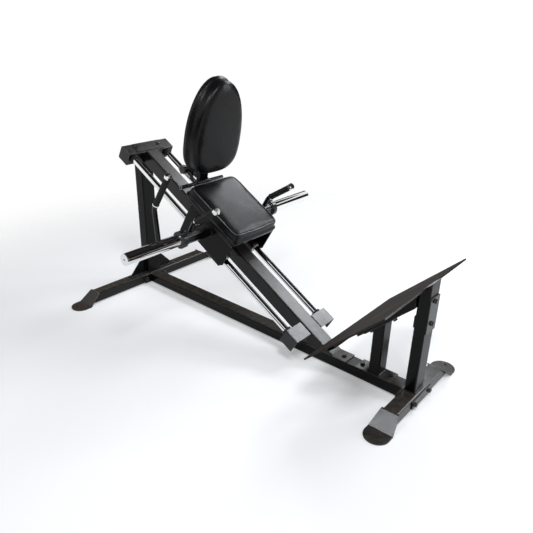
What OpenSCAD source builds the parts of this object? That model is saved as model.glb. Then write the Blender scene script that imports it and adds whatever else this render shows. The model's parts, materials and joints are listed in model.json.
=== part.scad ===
// Leg press machine: a seat carriage slides on two guide rods beside an inclined square rail,
// carries loading horns for weight discs, and is pushed away from a fixed foot plate.
// X runs from the head of the rail to the foot plate, Y to the user's left, Z up.
// The origin lies on the floor midway between the two cross tubes.

/* [Base] */
// Distance between the centre lines of the two cross tubes
wheelbase = 1570; // [1480:10:1700]
// Width of the cross tubes along the machine
cross_w = 60; // [50:1:80]
// Height of the cross tubes
cross_h = 48; // [44:1:60]
// Wall thickness of the floor tubes and posts
tube_wall = 3; // [2:0.5:5]
// Outside corner radius of the square tubes
corner_r = 6; // [5.5:0.5:8]
// Half length of the rear cross tube along its top
rear_half = 358; // [300:1:420]
// Half length of the front cross tube along its top
front_half = 181; // [150:1:260]
// Width of the long base beam
beam_w = 70; // [60:1:90]
// Height of the long base beam
beam_h = 45; // [40:1:48]
// Thickness of the feet and of the bolting flanges
plate_t = 5; // [4:0.5:8]
// Slope of the foot tabs that close the cross tubes
foot_slope = 40; // [32:1:55]
// Width of the floor pad of a foot
foot_w = 97; // [80:1:120]
// Width of a foot tab at the top of its tube
foot_top_w = 68; // [60:1:80]
// Length of a floor pad from its bend to its tip
foot_pad = 75.5; // [65:0.5:100]
// Diameter of the floor bolt holes
foot_hole_d = 11; // [8:0.5:16]
// Distance from a floor bolt hole to the tip of its pad
foot_hole_in = 24; // [18:1:35]
// Half spacing of the bolts that join the base beam to the cross tubes
joint_y = 58; // [54:1:68]

/* [Upright and head] */
// Depth of the rear upright along the machine
upright_d = 58; // [50:1:60]
// Width of the rear upright
upright_w = 76; // [60:1:90]
// Reach of a gusset along the cross tube
gusset_reach = 95; // [60:1:140]
// Height of a gusset
gusset_rise = 95; // [60:1:140]
// Thickness of the gussets
gusset_t = 6; // [4:0.5:10]
// Height of the rod axes above the floor at the head datum
head_height = 737; // [680:1:780]
// Distance from the head datum to the back of the head block
head_back = 3; // [0:1:10]
// Length of the head block along the rail
head_len = 69; // [60:1:80]
// Width of the head block
head_w = 270; // [256:1:300]
// Height of the head block above the rod axes
head_top = 29.5; // [24:0.5:36]

/* [Rail and rods] */
// Distance from the front cross tube back to where the line of the rods meets the floor
rail_short = 313.8; // [300:0.1:330]
// Side of the square rail
rail_size = 70; // [60:1:76]
// Height of the rail top above the rod axes
rail_top = 32; // [28:1:38]
// Wall thickness of the rail and of the rod blocks
rail_wall = 4; // [3:0.5:5]
// Diameter of the guide rods
rod_d = 28; // [20:1:32]
// Distance between the axes of the guide rods
rod_gap = 208; // [196:1:216]
// Distance from the floor end of the rod line up to the lower rod blocks
block_up = 250.4; // [215:0.2:250.4]
// Length of the lower rod blocks
block_len = 68; // [55:1:80]
// Half width over the outside of the lower rod blocks
block_out = 136; // [134:1:150]
// Length of the rubber buffers on the rods
buffer_len = 12; // [8:1:16]

/* [Carriage] */
// Distance from the head datum to the back of the carriage at rest
carriage_at = 515; // [505:1:516]
// Length of the carriage side plates
carriage_len = 282; // [270:1:284]
// Half distance between the carriage side plates
side_in = 131; // [131:1:140]
// Thickness of the side plates
side_t = 6; // [4:0.5:8]
// Depth of the side plates below the rod axes
side_low = 12; // [8:1:20]
// Height of the carriage deck above the rod axes
deck_h = 116; // [113:1:120]
// Thickness of the deck
deck_t = 6; // [4:0.5:8]
// Length of a bearing block
bearing_len = 60; // [45:1:70]
// Outside diameter of the linear bearings
bearing_od = 40; // [36:1:44]
// Radial running clearance of the sliding and turning fits
fit = 0.05; // [0.03:0.01:0.1]

/* [Seat] */
// Length of the seat cushion
seat_len = 344; // [320:1:350]
// Width of the seat cushion
seat_w = 300; // [270:1:340]
// Overhang of the seat behind the carriage
seat_back = 53; // [45:1:60]
// Thickness of the seat cushion at its rim
seat_thick = 51; // [45:1:65]
// Thickness of the seat board
board_t = 12; // [9:1:18]

/* [Backrest] */
// Distance from the back of the carriage to the backrest hinge
hinge_back = 91; // [85:1:100]
// Height of the hinge above the rod axes
hinge_up = 129; // [127:1:135]
// Half length of the hinge bar
hinge_half = 131; // [80:1:140]
// Diameter of the hinge bar
hinge_d = 18; // [14:1:20]
// Forward lean of the backrest at rest
back_lean = 12; // [8:1:15]
// Half width of the back cushion
pad_half = 150; // [130:1:170]
// Height of the rounded upper part of the back cushion
pad_up = 262; // [220:1:290]
// Height of the squarer lower part of the back cushion
pad_down = 163; // [140:1:175]
// Distance from the hinge to the bottom of the back cushion
pad_gap = 64; // [60:1:80]
// Distance of the back of that cushion ahead of the hinge
pad_fwd = 10; // [6:1:14]
// Thickness of the back cushion at its edge
pad_thick = 70; // [60:1:80]
// Radius of the slotted quadrant behind the hinge
quadrant_r = 118; // [114:1:122]
// Tilt of the backrest that the quadrant slot allows
tilt_range = 30; // [20:1:32]
// Direction of the clamp stud from the hinge, above the horizontal to the rear
stud_dir = 30; // [26:1:34]

/* [Loading horns] */
// Distance from the back of the carriage to the horn axis
horn_at = 135; // [125:1:150]
// Height of the horn axis above the rod axes
horn_up = 81; // [78:1:82]
// Diameter of the horn tube
horn_d = 57; // [54:0.5:62]
// Half length of the horn tube between the collars
horn_half = 272; // [262:1:300]
// Diameter of the collars
collar_d = 75; // [68:1:90]
// Length of a collar
collar_len = 29; // [20:1:40]
// Diameter of the chrome sleeves
sleeve_d = 50; // [48:0.5:51]
// Half width over the ends of the sleeves
sleeve_end = 577; // [520:1:620]

/* [Handles] */
// Distance of the handles from the middle of the machine
handle_y = 240; // [215:1:250]
// Diameter of the handle tubes
handle_d = 22; // [18:1:25]
// Forward tilt of the grips from the carriage plane
handle_tilt = 28; // [15:1:40]
// Length of a handle grip
grip_len = 126; // [110:1:140]
// Outside diameter of the rubber grips
grip_d = 28; // [26.5:0.5:32]

/* [Lock] */
// Distance from the back of the carriage to the lock shaft
shaft_in = 18; // [17:1:20]
// Distance of the lock shaft below the rod axes
shaft_down = 66; // [65:1:68]
// Diameter of the lock shaft
shaft_d = 18; // [14:1:20]
// Distance of the lock lever from the middle of the machine
lever_y = 270; // [262:1:290]
// Length of the lower leg of the lever
lever_leg = 143; // [120:1:160]
// Length of the lever grip
lever_grip_len = 158; // [130:1:170]
// Distance between the lock stops along the rail
stop_pitch = 80; // [75:1:80]
// Number of lock stops on either side of the rest position
stop_side = 5; // [3:1:5]

/* [Foot plate] */
// Distance of the lower edge of the foot plate behind the front cross tube centre
tread_back = 295.5; // [285:0.5:305]
// Height of the lower edge of the foot plate
tread_z = 206; // [190:1:220]
// Slope of the foot plate
tread_angle = 43.9; // [42:0.1:46]
// Length of the foot plate along its slope
tread_len = 403; // [380:1:430]
// Width of the foot plate
tread_w = 634; // [560:1:700]
// Thickness of the foot plate
tread_t = 6; // [4:0.5:8]
// Width of the channel under the foot plate
channel_w = 92; // [84:1:100]
// Depth of the channel under the foot plate
channel_h = 40; // [34:1:46]
// Distance from the lower edge of the foot plate to its channel
channel_at = 40; // [20:1:60]
// Depth of the tall front post along the machine
post_d = 43; // [40:1:50]
// Width of the tall front post
post_w = 76; // [60:1:80]
// Distance of the tall front post behind the front cross tube centre
post_back = 2.5; // [0:0.5:8]
// Depth of the short post along the machine
prop_d = 46; // [44:1:60]
// Width of the short post
prop_w = 62; // [50:1:66]
// Distance of the short post centre behind the front cross tube centre
prop_back = 159.5; // [150:0.5:170]
// Height of the lower bolt of the tall front post
post_bolt_z = 343; // [335:1:350]
// Distance between the bolts of the tall front post
post_bolt_gap = 90; // [80:1:95]
// Height of the lower end of the strip under those bolts
post_strip_z = 309; // [305:1:315]
// Length of that strip
post_strip_len = 140; // [136:1:144]

/* [Bolts] */
// Thread diameter of the frame bolts
bolt_d = 10; // [8:1:12]
// Width across the flats of the bolt heads
bolt_flats = 16; // [13:1:19]
// Height of the bolt heads and nuts
bolt_head = 6.5; // [5:0.5:9]

/* [Hidden] */
$fn = 64;
big = 3000;
seat_square = 13;
ring_n = 96;
cross_top = plate_t + cross_h;
beam_top = plate_t + beam_h;
flange_t = plate_t + 1;
washer_t = 2;
foot_run = cross_top / tan(foot_slope);
strip_t = 4;
rear_x = -wheelbase / 2;
front_x = wheelbase / 2;
rail_angle = atan(head_height / (wheelbase - rail_short));
block_at = head_height / sin(rail_angle) - block_up;
tread_x = front_x - tread_back;
prop_x = front_x - prop_back;
prop_foot_back = 79;
prop_foot_len = 154;
joint_z = plate_t + beam_h / 2;
rail_bot = rail_top - rail_size;
rail_foot_z = beam_top + plate_t;
head_front = head_back + head_len;
cap_t = 3;
saddle_t = 4;
saddle_half = 80;
saddle_bolt_y = 62;
rod_start = head_back + rail_wall + 2;
rod_end = block_at + block_len - 6;
bearing_w = 2 * (side_in - rod_gap / 2);
bearing_rear = carriage_at + 10;
bearing_front = carriage_at + carriage_len - 19 - bearing_len;
hinge_s = carriage_at - hinge_back;
lug_in = 30;
lug_t = 6;
seat_mid = carriage_at - seat_back + seat_len / 2;
seat_z = deck_h + deck_t + board_t;
horn_s = carriage_at + horn_at;
shaft_s = carriage_at + shaft_in;
stud_r = quadrant_r - 18;
stud_d = 10;
quadrant_t = 8;
quadrant_gap = 0.3;
bracket_t = 6;
bracket_y = quadrant_t / 2 + quadrant_gap + bracket_t;
spine_front = pad_fwd - board_t;
spine_t = 22;
spine_w = 50;
neck_t = 22;
spine_back = spine_front - spine_t;
bush_d = hinge_d + 12;
stop_len = 14;
stop_h = 10;
stop_w = 40;
pawl_w = 12;
pawl_hub_d = 28;
stop_at = shaft_s + 40;
pawl_r = 38;
pawl_rest = 14;
lever_tilt = 35.9;
lever_bend = 39.1;
bend_r = 40;
draw = 0.3;
handle_leg = 64;
handle_tail = 12;
ring_len = 5;
grip_cap = 16;
post_x = front_x - post_back;
post_rear = post_x - post_d / 2;
bar_w = 39;
bar_h = 12;
bar_half = 296;
bar_at = 106;
channel_wall = 4;
prop_drop = tread_t + channel_h + plate_t;
prop_s = (prop_x - tread_x - prop_drop * sin(tread_angle)) / cos(tread_angle);
prop_bolt_s = 61;
post_pad_len = 48;
post_bolts_z = [post_bolt_z, post_bolt_z + post_bolt_gap];
rod_nut_h = 15;
spigot_d = sleeve_d - 1.5;
spigot_in = 20;
plug_t = 4;
stud_reach = 20;

function signed_root(v, n) = (v < 0 ? -1 : 1) * pow(abs(v), 2 / n);

function oval_point(a, w, up, down, n_up, n_down) =
    let (n = sin(a) < 0 ? n_down : n_up, reach = sin(a) < 0 ? down : up)
    [w * signed_root(cos(a), n), reach * signed_root(sin(a), n)];

function oval(w, up, down, n_up, n_down) =
    [for (i = [0 : ring_n - 1]) oval_point(i * 360 / ring_n, w, up, down, n_up, n_down)];

function rail_x(h, z) =
    rear_x + (head_height + h * cos(rail_angle) - z) / tan(rail_angle) + h * sin(rail_angle);

rail_foot_back = rail_x(rail_bot, rail_foot_z) - 46;
rail_foot_front = rail_x(rail_top, rail_foot_z) + 61;
beam_bolt_x = [rail_foot_back + 16, rail_foot_front - 28, prop_x - prop_foot_back + 14,
               prop_x - prop_foot_back + prop_foot_len - 15];

module on_rail() {
  translate([rear_x, 0, head_height])
    rotate([0, rail_angle, 0])
      children();
}

module on_tread() {
  translate([tread_x, 0, tread_z])
    rotate([0, -tread_angle, 0])
      children();
}

module on_hinge() {
  on_rail()
    translate([hinge_s, 0, hinge_up])
      rotate([0, back_lean - rail_angle, 0])
        children();
}

module both_sides() {
  for (k = [0, 1])
    mirror([0, k, 0])
      children();
}

module round_rect(w, h, r) {
  square([w - 2 * r, h], center = true);
  square([w, h - 2 * r], center = true);
  for (i = [-1, 1])
    for (j = [-1, 1])
      translate([i * (w / 2 - r), j * (h / 2 - r)])
        circle(r);
}

module tube_section(w, h, wall) {
  difference() {
    round_rect(w, h, corner_r);
    round_rect(w - 2 * wall, h - 2 * wall, corner_r - wall + 0.5);
  }
}

module along_x() {
  rotate([90, 0, 90])
    children();
}

module along_y(len) {
  rotate([90, 0, 0])
    linear_extrude(len, center = true)
      children();
}

module rod_y(d, y0, y1) {
  translate([0, y1, 0])
    rotate([90, 0, 0])
      cylinder(d = d, h = y1 - y0);
}

// Hex bolt seated at z = 0 with its head up and its nut at the far side of the grip
module hex_bolt(grip) {
  cylinder(d = 2 * bolt_d, h = washer_t);
  translate([0, 0, washer_t])
    cylinder(d = bolt_flats / cos(30), h = bolt_head, $fn = 6);
  translate([0, 0, -grip - bolt_head - 3])
    cylinder(d = bolt_d, h = grip + bolt_head + 4);
  translate([0, 0, -grip - bolt_head])
    cylinder(d = bolt_flats / cos(30), h = bolt_head, $fn = 6);
}

module bolt_hole(len) {
  cylinder(d = bolt_d + 1, h = len, center = true);
}

module joint_holes(x) {
  for (y = [-joint_y, joint_y])
    translate([x, y, joint_z])
      rotate([0, 90, 0])
        bolt_hole(200);
}

module beam_holes() {
  for (x = beam_bolt_x)
    translate([x, 0, beam_top])
      bolt_hole(24);
}

module post_holes() {
  for (z = post_bolts_z)
    translate([post_x + post_d / 2, 0, z])
      rotate([0, 90, 0])
        bolt_hole(24);
  translate([post_rear, 0, post_bolt_z])
    rotate([0, 90, 0])
      bolt_hole(24);
}

// Places of the two bolts that hold the top flange of the short post under the channel
module at_prop_bolts() {
  on_tread()
    for (k = [-1, 1])
      translate([prop_s + k * prop_bolt_s, 0, -prop_drop])
        children();
}

// Square floor tube along Y whose ends are mitred to carry the sloping foot tabs
module cross_tube(x, half) {
  difference() {
    translate([x, 0, plate_t + cross_h / 2])
      along_y(2 * half + 400)
        tube_section(cross_w, cross_h, tube_wall);
    both_sides()
      translate([x, half, cross_top])
        rotate([-foot_slope, 0, 0])
          translate([-big / 2, -big / 2, 0])
            cube([big, big, big]);
    joint_holes(x);
  }
}

// Foot of bent plate: a tab that closes the tube end, then a rounded floor pad with its bolt hole
module foot(x, half) {
  tip = foot_run + foot_pad;
  tip_r = foot_w / 2;
  skin = plate_t / sin(foot_slope);
  bend = skin + (cross_top - plate_t) / tan(foot_slope);
  translate([x, half, 0])
    difference() {
      intersection() {
        translate([-foot_w, 0, 0])
          along_x()
            linear_extrude(2 * foot_w)
              polygon([[0, cross_top], [skin, cross_top], [bend, plate_t], [tip + 1, plate_t],
                       [tip + 1, 0], [foot_run, 0]]);
        linear_extrude(2 * cross_top, center = true) {
          polygon([[-foot_top_w / 2, -1], [foot_top_w / 2, -1], [foot_w / 2, foot_run],
                   [foot_w / 2, tip - tip_r], [-foot_w / 2, tip - tip_r], [-foot_w / 2, foot_run]]);
          translate([0, tip - tip_r])
            circle(tip_r);
        }
      }
      translate([0, tip - foot_hole_in, 0])
        cylinder(d = foot_hole_d, h = 4 * plate_t, center = true);
    }
}

module rear_cross_tube() {
  color("DimGray")
    cross_tube(rear_x, rear_half);
}

module front_cross_tube() {
  color("DimGray")
    cross_tube(front_x, front_half);
}

module rear_feet() {
  color("Gray")
    both_sides()
      foot(rear_x, rear_half);
}

module front_feet() {
  color("Gray")
    both_sides()
      foot(front_x, front_half);
}

module base_beam() {
  x0 = rear_x + cross_w / 2 + flange_t;
  color("DimGray")
    difference() {
      translate([x0, 0, plate_t + beam_h / 2])
        along_x()
          linear_extrude(-2 * x0)
            tube_section(beam_w, beam_h, tube_wall);
      beam_holes();
    }
}

module beam_flanges() {
  color("Gray") {
    for (k = [-1, 1])
      difference() {
        translate([k * (front_x - cross_w / 2 - flange_t / 2), 0, plate_t + beam_h / 2])
          along_x()
            linear_extrude(flange_t, center = true)
              round_rect(2 * joint_y + 36, beam_h, corner_r);
        joint_holes(k * front_x);
      }
    difference() {
      translate([front_x + cross_w / 2, 0, joint_z])
        along_x()
          linear_extrude(plate_t)
            round_rect(2 * joint_y + 36, 34, 4);
      joint_holes(front_x);
    }
  }
}

module joint_bolts() {
  color("Silver")
    for (y = [-joint_y, joint_y]) {
      translate([rear_x + cross_w / 2 + flange_t, y, joint_z])
        rotate([0, 90, 0])
          hex_bolt(cross_w + flange_t);
      translate([front_x + cross_w / 2 + plate_t, y, joint_z])
        rotate([0, 90, 0])
          hex_bolt(cross_w + flange_t + plate_t);
    }
}

module beam_bolts() {
  color("Silver")
    for (x = beam_bolt_x)
      translate([x, 0, rail_foot_z])
        hex_bolt(plate_t + tube_wall);
}

module rear_upright() {
  color("DimGray")
    difference() {
      translate([rear_x, 0, cross_top])
        linear_extrude(head_height)
          tube_section(upright_d, upright_w, tube_wall);
      on_rail()
        translate([-big / 2, -big / 2, rail_bot - plate_t])
          cube([big, big, big]);
    }
}

module upright_gussets() {
  y0 = upright_w / 2;
  z0 = cross_top + strip_t;
  color("Gray")
    both_sides() {
      translate([rear_x - 17, y0, cross_top])
        cube([35, gusset_reach + 12, strip_t]);
      translate([rear_x - gusset_t / 2, 0, 0])
        along_x()
          linear_extrude(gusset_t)
            polygon([[y0, z0], [y0 + gusset_reach, z0], [y0 + gusset_reach, z0 + 8],
                     [y0 + 12, z0 + gusset_rise], [y0, z0 + gusset_rise]]);
    }
}

module head_seat() {
  color("Gray")
    on_rail()
      translate([-16, -50, rail_bot - plate_t])
        cube([head_front + 16, 100, plate_t]);
}

module head_bolt_holes() {
  for (y = [-saddle_bolt_y, saddle_bolt_y])
    translate([head_back + 30, y, head_top])
      bolt_hole(24);
}

module head_block() {
  h = head_top - rail_bot;
  color("DimGray")
    on_rail()
      difference() {
        translate([head_back + head_len / 2, 0, rail_bot + h / 2])
          along_y(head_w - 2 * cap_t)
            tube_section(head_len, h, rail_wall);
        for (y = [-rod_gap / 2, rod_gap / 2])
          translate([head_front - 2 * rail_wall, y, 0])
            rotate([0, 90, 0])
              cylinder(d = rod_d + 2 * fit, h = 4 * rail_wall);
        head_bolt_holes();
      }
}

module head_caps() {
  h = head_top - rail_bot;
  color("Gray")
    on_rail()
      both_sides()
        translate([head_back + head_len / 2, head_w / 2 - cap_t / 2, rail_bot + h / 2])
          along_y(cap_t)
            round_rect(head_len, h, corner_r);
}

module head_saddle() {
  color("Gray")
    on_rail()
      difference() {
        translate([head_back + corner_r, -saddle_half, head_top])
          cube([head_len - 2 * corner_r, 2 * saddle_half, saddle_t]);
        head_bolt_holes();
      }
}

module head_bolts() {
  color("Silver")
    on_rail()
      for (y = [-saddle_bolt_y, saddle_bolt_y])
        translate([head_back + 30, y, head_top + saddle_t])
          hex_bolt(saddle_t + rail_wall);
}

module main_rail() {
  color("DimGray")
    difference() {
      on_rail()
        translate([head_front, 0, rail_top - rail_size / 2])
          along_x()
            linear_extrude(head_height / sin(rail_angle) + rail_size)
              tube_section(rail_size, rail_size, rail_wall);
      translate([-big, -big, rail_foot_z - big])
        cube([2 * big, 2 * big, big]);
    }
}

module rail_foot_plate() {
  color("Gray")
    difference() {
      translate([rail_foot_back, -beam_w / 2, beam_top])
        cube([rail_foot_front - rail_foot_back, beam_w, plate_t]);
      beam_holes();
    }
}

module guide_rod(side) {
  on_rail()
    translate([rod_start, side * rod_gap / 2, 0])
      rotate([0, 90, 0])
        cylinder(d = rod_d, h = rod_end - rod_start);
}

module guide_rod_right() {
  color("LightGray")
    guide_rod(-1);
}

module guide_rod_left() {
  color("LightGray")
    guide_rod(1);
}

// Folded bracket on the flank of the rail, open below and at its lower end
module lower_block() {
  w = block_out - rail_size / 2;
  h = head_top - rail_bot;
  on_rail()
    translate([block_at, rail_size / 2 + w / 2, rail_bot + h / 2])
      difference() {
        along_x()
          linear_extrude(block_len)
            round_rect(w, h, corner_r);
        translate([rail_wall, rail_wall - w / 2, -h])
          cube([block_len, w - 2 * rail_wall, 1.5 * h - rail_wall]);
        translate([0, rod_gap / 2 - rail_size / 2 - w / 2, -rail_bot - h / 2])
          rotate([0, 90, 0])
            cylinder(d = rod_d + 2 * fit, h = 40, center = true);
      }
}

module lower_block_left() {
  color("Gray")
    lower_block();
}

module lower_block_right() {
  color("Gray")
    mirror([0, 1, 0])
      lower_block();
}

module rod_nuts() {
  color("Silver")
    on_rail()
      both_sides()
        translate([block_at + rail_wall, rod_gap / 2, 0])
          rotate([0, 90, 0])
            difference() {
              cylinder(d = (rod_d + 13) / cos(30), h = rod_nut_h, $fn = 6);
              cylinder(d = rod_d + 2 * fit, h = 4 * rod_nut_h, center = true);
            }
}

module rod_buffers() {
  color("Black")
    on_rail()
      for (s = [head_front, block_at - buffer_len])
        both_sides()
          translate([s, rod_gap / 2, 0])
            rotate([0, 90, 0])
              difference() {
                cylinder(d = rod_d + 14, h = buffer_len);
                cylinder(d = rod_d + 2 * fit, h = 4 * buffer_len, center = true);
              }
}

module lock_stops() {
  color("Gray")
    on_rail()
      for (k = [-stop_side : stop_side])
        translate([stop_at + k * stop_pitch, -stop_w / 2, rail_bot - stop_h])
          cube([stop_len, stop_w, stop_h]);
}

module front_post() {
  color("DimGray")
    difference() {
      union() {
        translate([post_x, 0, cross_top])
          linear_extrude(head_height)
            tube_section(post_d, post_w, tube_wall);
        intersection() {
          translate([post_x, 0, cross_top])
            linear_extrude(head_height)
              square([post_d - tube_wall, post_w - tube_wall], center = true);
          on_tread()
            translate([tread_len - big / 2, -big / 2, -tread_t - plate_t])
              cube([big, big, tread_t + plate_t + 1]);
        }
      }
      on_tread()
        translate([tread_len - big, -big / 2, -tread_t])
          cube([big, big, big]);
      on_tread()
        translate([-big / 2, -big / 2, 0])
          cube([big, big, big]);
      post_holes();
    }
}

module front_post_plate() {
  color("Gray")
    difference() {
      union() {
        translate([post_x + post_d / 2, 0, post_strip_z + post_strip_len / 2])
          along_x()
            linear_extrude(plate_t)
              round_rect(post_w - 4, post_strip_len, 4);
        translate([post_rear - plate_t, 0, post_bolt_z])
          along_x()
            linear_extrude(plate_t)
              round_rect(post_w - 2 * corner_r, post_pad_len, 4);
      }
      post_holes();
    }
}

module post_bolts() {
  color("Silver")
    for (z = post_bolts_z)
      translate([post_x + post_d / 2 + plate_t, 0, z])
        rotate([0, 90, 0])
          hex_bolt(plate_t + (z == post_bolt_z ? post_d + plate_t : tube_wall));
  color("Silver")
    at_prop_bolts()
      mirror([0, 0, 1])
        hex_bolt(plate_t + channel_wall);
}

module short_post() {
  color("DimGray")
    difference() {
      translate([prop_x, 0, rail_foot_z])
        linear_extrude(head_height)
          tube_section(prop_d, prop_w, tube_wall);
      on_tread()
        translate([-big / 2, -big / 2, -prop_drop])
          cube([big, big, big]);
    }
}

// Flange on the base beam and flange under the channel
module short_post_flanges() {
  color("Gray") {
    difference() {
      translate([prop_x - prop_foot_back, -beam_w / 2, beam_top])
        cube([prop_foot_len, beam_w, plate_t]);
      beam_holes();
    }
    difference() {
      on_tread()
        translate([prop_s - prop_foot_len / 2, -prop_w / 2, -prop_drop])
          cube([prop_foot_len, prop_w, plate_t]);
      at_prop_bolts()
        bolt_hole(24);
    }
  }
}

module foot_plate() {
  color("SlateGray")
    on_tread()
      translate([tread_len / 2, 0, -tread_t])
        linear_extrude(tread_t)
          round_rect(tread_len, tread_w, 3);
}

module at_bar() {
  on_tread()
    translate([bar_at + bar_w / 2, 0, -tread_t - bar_h / 2])
      along_y(2 * bar_half)
        children();
}

module foot_plate_channel() {
  wall = channel_wall;
  color("Gray")
    difference() {
      on_tread()
        translate([channel_at, 0, -tread_t - channel_h])
          along_x()
            linear_extrude(tread_len)
              difference() {
                translate([-channel_w / 2, 0])
                  square([channel_w, channel_h]);
                translate([-channel_w / 2 + wall, wall])
                  square([channel_w - 2 * wall, channel_h]);
              }
      at_bar()
        square([bar_w, bar_h], center = true);
      at_prop_bolts()
        bolt_hole(24);
      translate([post_rear - 2, -big / 2, 0])
        cube([big, big, big]);
    }
}

// Shallow folded bar across the back of the foot plate
module foot_plate_bar() {
  color("Gray")
    at_bar()
      difference() {
        square([bar_w, bar_h], center = true);
        translate([0, tube_wall])
          square([bar_w - 2 * tube_wall, bar_h], center = true);
      }
}

module side_outline() {
  difference() {
    union() {
      translate([0, -side_low])
        square([carriage_len, deck_h + side_low]);
      translate([0, -shaft_down])
        square([2 * shaft_in, shaft_down]);
      translate([shaft_in, -shaft_down])
        circle(shaft_in);
    }
    translate([carriage_len, -side_low])
      rotate(45)
        square(20, center = true);
    translate([horn_at, horn_up])
      circle(d = horn_d + 2 * fit);
    translate([shaft_in, -shaft_down])
      circle(d = shaft_d + 2 * fit);
  }
}

module carriage_side() {
  on_rail()
    translate([carriage_at, side_in + side_t / 2, 0])
      along_y(side_t)
        side_outline();
}

module carriage_side_left() {
  color("DimGray")
    carriage_side();
}

module carriage_side_right() {
  color("DimGray")
    mirror([0, 1, 0])
      carriage_side();
}

module carriage_deck() {
  half = side_in + side_t;
  tongue = hinge_back - bush_d / 2 - 6;
  color("Gray")
    on_rail()
      translate([carriage_at, 0, deck_h]) {
        translate([0, -half, 0])
          cube([carriage_len, 2 * half, deck_t]);
        translate([-tongue, -lug_in, 0])
          cube([tongue + 1, 2 * lug_in, deck_t]);
      }
}

module at_bearings() {
  on_rail()
    both_sides()
      for (s = [bearing_rear, bearing_front])
        translate([s, rod_gap / 2, 0])
          rotate([0, 90, 0])
            children();
}

module bearing_blocks() {
  color("Gray")
    at_bearings()
      difference() {
        linear_extrude(bearing_len)
          round_rect(bearing_w, bearing_w, 4);
        cylinder(d = bearing_od + 2 * fit, h = 3 * bearing_len, center = true);
      }
}

module linear_bearings() {
  color("Silver")
    at_bearings()
      difference() {
        translate([0, 0, -2])
          cylinder(d = bearing_od, h = bearing_len + 4);
        cylinder(d = rod_d + 2 * fit, h = 3 * bearing_len, center = true);
      }
}

module on_horn() {
  on_rail()
    translate([horn_s, 0, horn_up])
      children();
}

module horn_tube() {
  color("DimGray")
    on_horn()
      difference() {
        rod_y(horn_d, -horn_half, horn_half);
        rod_y(spigot_d + 2 * fit, -big, big);
      }
}

module horn_collars() {
  color("Black")
    on_horn()
      both_sides()
        difference() {
          union() {
            rod_y(collar_d - 9, horn_half, horn_half + collar_len);
            rod_y(collar_d, horn_half + 8, horn_half + collar_len);
          }
          rod_y(spigot_d + 2 * fit, 0, big);
        }
}

// Chrome sleeve that butts on the collar, with a thinner spigot through it into the horn tube
module sleeve() {
  on_horn()
    difference() {
      union() {
        rod_y(sleeve_d, horn_half + collar_len, sleeve_end - plug_t);
        rod_y(spigot_d, horn_half - spigot_in, horn_half + collar_len + 1);
      }
      rod_y(sleeve_d - 8, 0, big);
    }
}

module sleeve_left() {
  color("LightGray")
    sleeve();
}

module sleeve_right() {
  color("LightGray")
    mirror([0, 1, 0])
      sleeve();
}

module sleeve_plugs() {
  color("LightGray")
    on_horn()
      both_sides()
        difference() {
          union() {
            rod_y(sleeve_d - 1, sleeve_end - plug_t, sleeve_end);
            rod_y(sleeve_d - 8 - 2 * fit, sleeve_end - plug_t - 10, sleeve_end - 1);
          }
          rod_y(8, 0, big);
        }
}

// Tube that starts along Z, then bends towards X and runs on straight, drawn thinner at each step
module bent_tube(d, leg, bend, tail) {
  cylinder(d = d + 2 * draw, h = leg + 1);
  translate([bend_r, 0, leg])
    rotate([90, 0, 180])
      rotate_extrude(angle = bend)
        translate([bend_r, 0])
          circle(d = d + draw);
  after_bend(leg, bend)
    translate([0, 0, -1])
      cylinder(d = d, h = tail + 1);
}

module after_bend(leg, bend) {
  translate([bend_r * (1 - cos(bend)), 0, leg + bend_r * sin(bend)])
    rotate([0, bend, 0])
      children();
}

module ribbed_grip(len, bore) {
  pitch = 7;
  count = floor((len - 6) / pitch);
  start = (len - count * pitch) / 2;
  rotate_extrude()
    polygon(concat([[bore / 2, 0], [grip_d / 2, 0]],
      [for (i = [0 : count - 1]) for (p = [[1.5, 0], [2.2, 1], [4.8, 1], [5.5, 0]])
        [grip_d / 2 - p[1], start + i * pitch + p[0]]],
      [[grip_d / 2, len], [bore / 2, len]]));
}

module grip_trim(len, bore) {
  difference() {
    translate([0, 0, -ring_len])
      cylinder(d = grip_d + 3, h = ring_len);
    cylinder(d = bore, h = 60, center = true);
  }
  translate([0, 0, len])
    cylinder(d = grip_d + 3, h = grip_cap - 3);
  translate([0, 0, len + grip_cap - 3])
    cylinder(d1 = grip_d + 3, d2 = grip_d - 3, h = 3);
}

module on_handle() {
  on_horn()
    both_sides()
      translate([-8, handle_y, 0])
        children();
}

module handle_tubes() {
  color("DimGray")
    difference() {
      on_handle()
        bent_tube(handle_d, handle_leg, handle_tilt, handle_tail + grip_len);
      on_horn()
        rod_y(horn_d + 2 * fit, -big, big);
    }
}

module handle_grips() {
  color("Black")
    on_handle()
      after_bend(handle_leg, handle_tilt)
        translate([0, 0, handle_tail])
          ribbed_grip(grip_len, handle_d + 2 * fit);
}

module handle_trims() {
  color("LightGray")
    on_handle()
      after_bend(handle_leg, handle_tilt)
        translate([0, 0, handle_tail])
          grip_trim(grip_len, handle_d + 2 * fit);
}

module cushion(w, up, down, n_up, n_down, rings, crown) {
  count = len(rings);
  low = count * ring_n;
  points = concat(
    [for (r = rings) for (p = oval(w - r[0], up - r[0], down - r[0], n_up, n_down)) [p[0], p[1], r[1]]],
    [[0, 0, 0], [0, 0, crown]]);
  sides = [for (k = [0 : count - 2]) for (i = [0 : ring_n - 1])
    let (a = k * ring_n + i, b = k * ring_n + (i + 1) % ring_n)
    for (f = [[a, a + ring_n, b], [b, a + ring_n, b + ring_n]]) f];
  base = [for (i = [0 : ring_n - 1]) [i, (i + 1) % ring_n, low]];
  top = [for (i = [0 : ring_n - 1])
    [low - ring_n + (i + 1) % ring_n, low - ring_n + i, low + 1]];
  polyhedron(points, concat(sides, base, top));
}

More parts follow.
